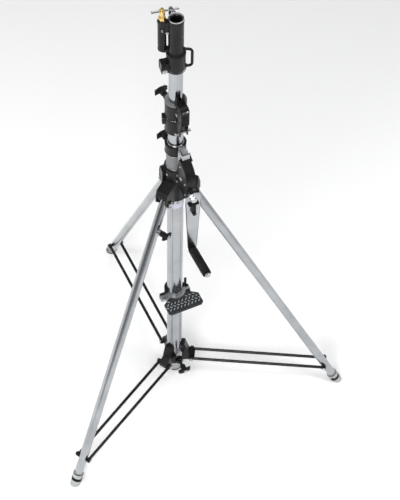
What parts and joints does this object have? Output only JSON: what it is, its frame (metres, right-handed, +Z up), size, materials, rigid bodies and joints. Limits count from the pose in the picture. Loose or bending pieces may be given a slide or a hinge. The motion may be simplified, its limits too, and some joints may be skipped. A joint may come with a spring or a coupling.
{
  "type": "crank lighting stand",
  "caption": "Wind-up lighting stand: bright telescoping risers raised by a hand crank and worm winch, on a folding tripod with black braces and a foot step.",
  "frame": {"origin": "on the floor, on the column's axis", "axes": "+Z up along the column, +X toward the right leg, the winch faces 60 degrees from +X toward -Y"},
  "size_m": [0.8638, 0.9924, 1.668],
  "materials": {
    "chrome_tube": "polished chrome-plated steel tube",
    "bright_steel": "bright plated steel",
    "wire_rope": "laid wire rope",
    "black_casting": "satin black painted casting",
    "black_rod": "gloss black painted rod",
    "black_plastic": "black moulded plastic",
    "grip_plastic": "black ribbed handle",
    "grey_plastic": "grey nylon",
    "pale_band": "plain pale band",
    "brass": "turned brass",
    "grey_rubber": "pale grey rubber",
    "grey_casting": "cast aluminium",
    "step_paint": "dark grey plate with raised tread"
  },
  "bodies": {
    "column": {"main_tube": "chrome_tube", "tube_plug": "black_plastic", "column_casting": "black_casting", "column_bush": "grey_plastic", "bush_ring": "bright_steel", "top_ring": "black_casting", "lower_ring": "bright_steel", "plain_band": "pale_band", "leg_bolts": "bright_steel", "winch_case": "black_casting", "winch_cover": "black_casting", "pulley_strap": "bright_steel", "winch_catch": "black_casting"},
    "crank": {"worm_shaft": "bright_steel", "crank_arm": "chrome_tube", "crank_nut": "bright_steel", "grip_spindle": "bright_steel"},
    "latch": {"crank_latch": "black_plastic"},
    "grip_sleeve": {"grip": "grip_plastic"},
    "drum": {"worm_wheel": "brass", "rope_drum": "bright_steel", "rope_coil": "wire_rope"},
    "column_pulley": {"top_pulley": "grey_plastic"},
    "riser_1": {"riser_1_tube": "chrome_tube", "riser_1_guide": "grey_plastic", "riser_1_collar": "black_casting", "riser_2_bush": "grey_plastic", "pulley_case": "black_casting", "case_bar": "bright_steel"},
    "collar_pulley": {"riser_pulley": "grey_plastic"},
    "riser_2": {"riser_2_tube": "chrome_tube", "riser_2_guide": "grey_plastic", "head_casting": "black_casting", "rope_loop": "black_casting", "head_bolt": "bright_steel"},
    "column_knob": {"riser_1_knob": "black_plastic"},
    "collar_knob": {"riser_2_knob": "black_plastic"},
    "head_screw": {"socket_screw": "bright_steel", "tommy_bar": "bright_steel"},
    "stud": {"spigot": "brass"},
    "stud_screw": {"spigot_screw": "black_plastic"},
    "leg_near": {"near_leg": "chrome_tube"},
    "leveller": {"leveller_tube": "chrome_tube", "near_foot": "grey_rubber"},
    "level_knob": {"leveller_knob": "black_plastic"},
    "leg_right": {"right_leg": "chrome_tube", "right_foot": "grey_rubber"},
    "leg_rear": {"rear_leg": "chrome_tube", "rear_foot": "grey_rubber"},
    "spreader": {"spreader_collar": "black_casting", "spreader_pins": "bright_steel", "spreader_shoe": "bright_steel"},
    "low_knob": {"spreader_knob": "black_plastic"},
    "brace_near": {"near_braces": "black_rod"},
    "brace_right": {"right_braces": "black_rod"},
    "brace_rear": {"rear_braces": "black_rod"},
    "step": {"step_clamp": "grey_casting", "step_plate": "step_paint", "step_strap": "black_casting"},
    "clamp_lever": {"step_lever": "black_rod"}
  },
  "joints": [
    {"name": "crank_turn", "type": "hinge", "parent": "column", "child": "crank", "pos_m": [0, 0, 1.025], "axis": [0.5, -0.866, 0], "range_deg": [0, 7560]},
    {"name": "latch_lift", "type": "hinge", "parent": "crank", "child": "latch", "pos_m": [0.0621, -0.10756, 0.961], "axis": [0.866, 0.5, 0], "range_deg": [0, 25]},
    {"name": "grip_spin", "type": "hinge", "parent": "crank", "child": "grip_sleeve", "pos_m": [0, 0, 0.79], "axis": [0.5, -0.866, 0], "continuous": true},
    {"name": "drum_turn", "type": "hinge", "parent": "column", "child": "drum", "pos_m": [0.0355, -0.06149, 1.064], "axis": [0.866, 0.5, 0], "range_deg": [0, 2100]},
    {"name": "column_pulley_turn", "type": "hinge", "parent": "column", "child": "column_pulley", "pos_m": [0.025, -0.0433, 1.152], "axis": [0.866, 0.5, 0], "range_deg": [0, 3276]},
    {"name": "riser_1_slide", "type": "slide", "parent": "column", "child": "riser_1", "axis": [0, 0, 1], "range_m": [0, 1.001]},
    {"name": "collar_pulley_turn", "type": "hinge", "parent": "riser_1", "child": "collar_pulley", "pos_m": [0.02225, -0.03854, 1.309], "axis": [0.866, 0.5, 0], "range_deg": [0, 4985.22]},
    {"name": "riser_2_slide", "type": "slide", "parent": "riser_1", "child": "riser_2", "axis": [0, 0, 1], "range_m": [0, 1.001]},
    {"name": "column_knob_turn", "type": "hinge", "parent": "column", "child": "column_knob", "pos_m": [0, 0, 1.124], "axis": [-0.6691, 0.7431, 0], "range_deg": [0, 270]},
    {"name": "collar_knob_turn", "type": "hinge", "parent": "riser_1", "child": "collar_knob", "pos_m": [0, 0, 1.3], "axis": [-0.6691, 0.7431, 0], "range_deg": [0, 270]},
    {"name": "head_screw_turn", "type": "hinge", "parent": "riser_2", "child": "head_screw", "pos_m": [0, 0, 1.612], "axis": [-0.3256, 0.9455, 0], "range_deg": [0, 270]},
    {"name": "stud_slide", "type": "slide", "parent": "riser_2", "child": "stud", "axis": [0, 0, 1], "range_m": [0, 0.06]},
    {"name": "stud_screw_turn", "type": "hinge", "parent": "riser_2", "child": "stud_screw", "pos_m": [-0.0373, -0.00392, 1.603], "axis": [-0.342, 0.9397, 0], "range_deg": [0, 270]},
    {"name": "near_leg_fold", "type": "hinge", "parent": "column", "child": "leg_near", "pos_m": [-0.0285, -0.04936, 0.935], "axis": [0.866, -0.5, 0], "range_deg": [0, 20.9]},
    {"name": "right_leg_fold", "type": "hinge", "parent": "column", "child": "leg_right", "pos_m": [0.057, 0, 0.935], "axis": [0, 1, 0], "range_deg": [0, 20.9]},
    {"name": "rear_leg_fold", "type": "hinge", "parent": "column", "child": "leg_rear", "pos_m": [-0.0285, 0.04936, 0.935], "axis": [-0.866, -0.5, 0], "range_deg": [0, 20.9]},
    {"name": "leveller_slide", "type": "slide", "parent": "leg_near", "child": "leveller", "axis": [-0.2339, -0.4052, -0.8838], "range_m": [0, 0.06]},
    {"name": "leveller_knob_turn", "type": "hinge", "parent": "leg_near", "child": "level_knob", "pos_m": [-0.05189, -0.08988, 0.84662], "axis": [0.866, -0.5, 0], "range_deg": [0, 270]},
    {"name": "spreader_slide", "type": "slide", "parent": "column", "child": "spreader", "axis": [0, 0, 1], "range_m": [0, 0.33383]},
    {"name": "spreader_knob_turn", "type": "hinge", "parent": "spreader", "child": "low_knob", "pos_m": [0, 0, 0.086], "axis": [0.5, -0.866, 0], "range_deg": [0, 270]},
    {"name": "near_brace_fold", "type": "hinge", "parent": "spreader", "child": "brace_near", "pos_m": [-0.029, -0.05023, 0.084], "axis": [0.866, -0.5, 0], "range_deg": [0, 75.9]},
    {"name": "right_brace_fold", "type": "hinge", "parent": "spreader", "child": "brace_right", "pos_m": [0.058, 0, 0.084], "axis": [0, 1, 0], "range_deg": [0, 75.9]},
    {"name": "rear_brace_fold", "type": "hinge", "parent": "spreader", "child": "brace_rear", "pos_m": [-0.029, 0.05023, 0.084], "axis": [-0.866, -0.5, 0], "range_deg": [0, 75.9]},
    {"name": "step_slide", "type": "slide", "parent": "column", "child": "step", "axis": [0, 0, 1], "range_m": [0, 0.16691]},
    {"name": "step_lever_turn", "type": "hinge", "parent": "step", "child": "clamp_lever", "pos_m": [0.03637, 0.021, 0.419], "axis": [-0.5, 0.866, 0], "range_deg": [0, 90]}
  ],
  "couplings": [
    {"joint": "drum_turn", "follows": "crank_turn", "ratio": 0.27778},
    {"joint": "column_pulley_turn", "follows": "crank_turn", "ratio": 0.43333},
    {"joint": "riser_1_slide", "follows": "crank_turn", "m_per_rad": 0.0075833},
    {"joint": "collar_pulley_turn", "follows": "crank_turn", "ratio": 0.65942},
    {"joint": "riser_2_slide", "follows": "crank_turn", "m_per_rad": 0.0075833},
    {"joint": "near_leg_fold", "follows": "spreader_slide", "rad_per_m": 1.0926},
    {"joint": "near_brace_fold", "follows": "spreader_slide", "rad_per_m": 3.9683},
    {"joint": "right_leg_fold", "follows": "spreader_slide", "rad_per_m": 1.0926},
    {"joint": "right_brace_fold", "follows": "spreader_slide", "rad_per_m": 3.9683},
    {"joint": "rear_leg_fold", "follows": "spreader_slide", "rad_per_m": 1.0926},
    {"joint": "rear_brace_fold", "follows": "spreader_slide", "rad_per_m": 3.9683},
    {"joint": "step_slide", "follows": "spreader_slide", "ratio": 0.5}
  ]
}
